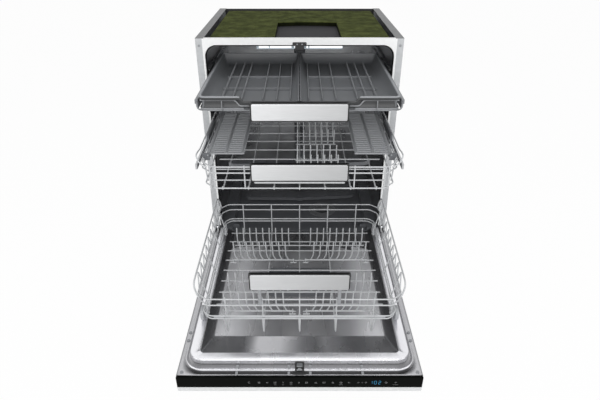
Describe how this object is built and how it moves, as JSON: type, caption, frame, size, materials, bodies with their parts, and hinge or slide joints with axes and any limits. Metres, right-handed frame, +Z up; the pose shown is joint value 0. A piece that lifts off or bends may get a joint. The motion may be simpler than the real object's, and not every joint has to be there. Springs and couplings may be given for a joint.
{
  "type": "fully integrated dishwasher",
  "caption": "Built-in dishwasher, 60 cm wide, door open, with two baskets and a cutlery tray drawn out on rails.",
  "frame": {"origin": "On the floor plane under the feet, midway across the machine and midway between the open door's front face and the back panel.", "axes": "+X to the right seen from in front, +Y from the open door towards the back panel, +Z up."},
  "size_m": [0.598, 1.155, 0.815],
  "materials": {
    "stainless_sheet": "bright rolled stainless sheet",
    "stainless_rail": "bright drawn stainless rail",
    "satin_steel": "satin brushed stainless plate",
    "galvanised_sheet": "light grey coated sheet",
    "painted_frame": "bright smooth coated frame",
    "coated_wire": "grey nylon-coated steel wire, semi-matt",
    "motor_metal": "coated motor casing",
    "cast_weight": "rough cast counterweight",
    "zinc_screw": "bright zinc-plated steel",
    "black_glass": "high-gloss black touch panel",
    "black_plastic": "fine-grained black moulding",
    "grey_moulding": "semi-matt grey polypropylene",
    "tray_plastic": "semi-matt mid grey polypropylene",
    "base_moulding": "dark moulded base plastic",
    "wheel_plastic": "light grey acetal",
    "filter_mesh": "grey filter moulding with fine mesh",
    "light_lens": "clear moulded lens",
    "seal_rubber": "soft black sealing rubber",
    "felt": "mottled green-grey felt"
  },
  "bodies": {
    "cabinet": {"tub_shell": "stainless_sheet", "tub_floor": "grey_moulding", "mouth_frame": "painted_frame", "door_seal": "seal_rubber", "left_side_panel": "galvanised_sheet", "right_side_panel": "galvanised_sheet", "back_panel": "galvanised_sheet", "felt_mat": "felt", "door_strike": "black_plastic", "panel_screws": "zinc_screw", "upper_rails": "stainless_rail", "tray_rails": "stainless_rail", "tub_light": "light_lens", "base_tray": "base_moulding", "levelling_feet": "black_plastic", "sump": "base_moulding", "feed_duct": "grey_moulding", "wash_pump": "motor_metal", "drain_pump": "base_moulding", "hose_unions": "grey_moulding", "hinge_brackets": "galvanised_sheet", "ballast": "cast_weight"},
    "door": {"door_liner": "stainless_sheet", "door_panel": "galvanised_sheet", "control_fascia": "black_glass", "latch_housing": "black_plastic", "dispenser": "grey_moulding", "rinse_cap": "grey_moulding", "hinge_arms": "galvanised_sheet", "door_screws": "zinc_screw"},
    "latch": {"latch_catch": "grey_moulding"},
    "detergent_lid": {"dispenser_lid": "grey_moulding"},
    "filter": {"filter_cup": "filter_mesh"},
    "lower_rack": {"lower_basket_floor": "coated_wire", "lower_basket_walls": "coated_wire", "lower_handle_frame": "black_plastic", "lower_handle_plate": "satin_steel"},
    "comb_front_left": {"front_left_comb": "coated_wire"},
    "comb_front_right": {"front_right_comb": "coated_wire"},
    "comb_rear_left": {"rear_left_comb": "coated_wire"},
    "comb_rear_right": {"rear_right_comb": "coated_wire"},
    "front_wheels": {"lower_front_wheels": "wheel_plastic"},
    "rear_wheels": {"lower_rear_wheels": "wheel_plastic"},
    "upper_rack": {"upper_basket_floor": "coated_wire", "upper_basket_walls": "coated_wire", "shelf_hangers": "grey_moulding", "upper_feed_pipe": "grey_moulding", "upper_handle_frame": "black_plastic", "upper_handle_plate": "satin_steel", "upper_slides": "stainless_rail", "height_adjusters": "grey_moulding"},
    "cup_shelf_left": {"left_cup_shelf": "grey_moulding"},
    "cup_shelf_right": {"right_cup_shelf": "grey_moulding"},
    "cutlery_tray": {"tray_halves": "tray_plastic", "tray_carrier": "coated_wire", "tray_handle_frame": "black_plastic", "tray_handle_plate": "satin_steel"},
    "lower_arm": {"lower_spray_arm": "grey_moulding"},
    "middle_arm": {"middle_spray_arm": "grey_moulding"},
    "top_arm": {"top_spray_arm": "grey_moulding"}
  },
  "joints": [
    {"name": "door", "type": "hinge", "parent": "cabinet", "child": "door", "pos_m": [0, 0.067, 0.1685], "axis": [-1, 0, 0], "range_deg": [0, 25]},
    {"name": "lower_rack", "type": "slide", "parent": "door", "child": "lower_rack", "axis": [0, -1, 0], "range_m": [-0.505, 0]},
    {"name": "upper_rack", "type": "slide", "parent": "cabinet", "child": "upper_rack", "axis": [0, -1, 0], "range_m": [-0.337, 0]},
    {"name": "cutlery_tray", "type": "slide", "parent": "cabinet", "child": "cutlery_tray", "axis": [0, -1, 0], "range_m": [-0.262, 0]},
    {"name": "lower_arm", "type": "hinge", "parent": "cabinet", "child": "lower_arm", "pos_m": [0, 0.3105, 0.154], "axis": [0, 0, 1], "continuous": true},
    {"name": "middle_arm", "type": "hinge", "parent": "upper_rack", "child": "middle_arm", "pos_m": [0, -0.0295, 0.465], "axis": [0, 0, 1], "continuous": true},
    {"name": "top_arm", "type": "hinge", "parent": "cabinet", "child": "top_arm", "pos_m": [0, 0.3105, 0.78], "axis": [0, 0, 1], "continuous": true},
    {"name": "latch_catch", "type": "hinge", "parent": "door", "child": "latch", "pos_m": [0, -0.5425, 0.151], "axis": [1, 0, 0], "range_deg": [0, 12], "stiffness_Nm_per_rad": 0.01},
    {"name": "detergent_lid", "type": "slide", "parent": "door", "child": "detergent_lid", "axis": [1, 0, 0], "range_m": [0, 0.019]},
    {"name": "filter_twist", "type": "hinge", "parent": "cabinet", "child": "filter", "pos_m": [0.086, 0.2305, 0.1414], "axis": [0, 0, 1], "range_deg": [0, 90]},
    {"name": "cup_shelf_left", "type": "hinge", "parent": "upper_rack", "child": "cup_shelf_left", "pos_m": [-0.24, -0.0545, 0.576], "axis": [0, 1, 0], "range_deg": [-90, 0]},
    {"name": "cup_shelf_right", "type": "hinge", "parent": "upper_rack", "child": "cup_shelf_right", "pos_m": [0.24, -0.0545, 0.576], "axis": [0, 1, 0], "range_deg": [0, 90]},
    {"name": "comb_front_left", "type": "hinge", "parent": "lower_rack", "child": "comb_front_left", "pos_m": [-0.115, -0.3695, 0.18], "axis": [-1, 0, 0], "range_deg": [0, 80]},
    {"name": "comb_front_right", "type": "hinge", "parent": "lower_rack", "child": "comb_front_right", "pos_m": [0.115, -0.3695, 0.18], "axis": [-1, 0, 0], "range_deg": [0, 80]},
    {"name": "comb_rear_left", "type": "hinge", "parent": "lower_rack", "child": "comb_rear_left", "pos_m": [-0.115, -0.1395, 0.18], "axis": [-1, 0, 0], "range_deg": [0, 80]},
    {"name": "comb_rear_right", "type": "hinge", "parent": "lower_rack", "child": "comb_rear_right", "pos_m": [0.115, -0.1395, 0.18], "axis": [-1, 0, 0], "range_deg": [0, 80]},
    {"name": "front_wheels", "type": "hinge", "parent": "lower_rack", "child": "front_wheels", "pos_m": [0, -0.3865, 0.1903], "axis": [1, 0, 0], "range_deg": [-1450, 0]},
    {"name": "rear_wheels", "type": "hinge", "parent": "lower_rack", "child": "rear_wheels", "pos_m": [0, -0.0085, 0.1903], "axis": [1, 0, 0], "range_deg": [-1450, 0]}
  ],
  "couplings": [
    {"joint": "front_wheels", "follows": "lower_rack", "rad_per_m": 50},
    {"joint": "rear_wheels", "follows": "lower_rack", "rad_per_m": 50}
  ]
}
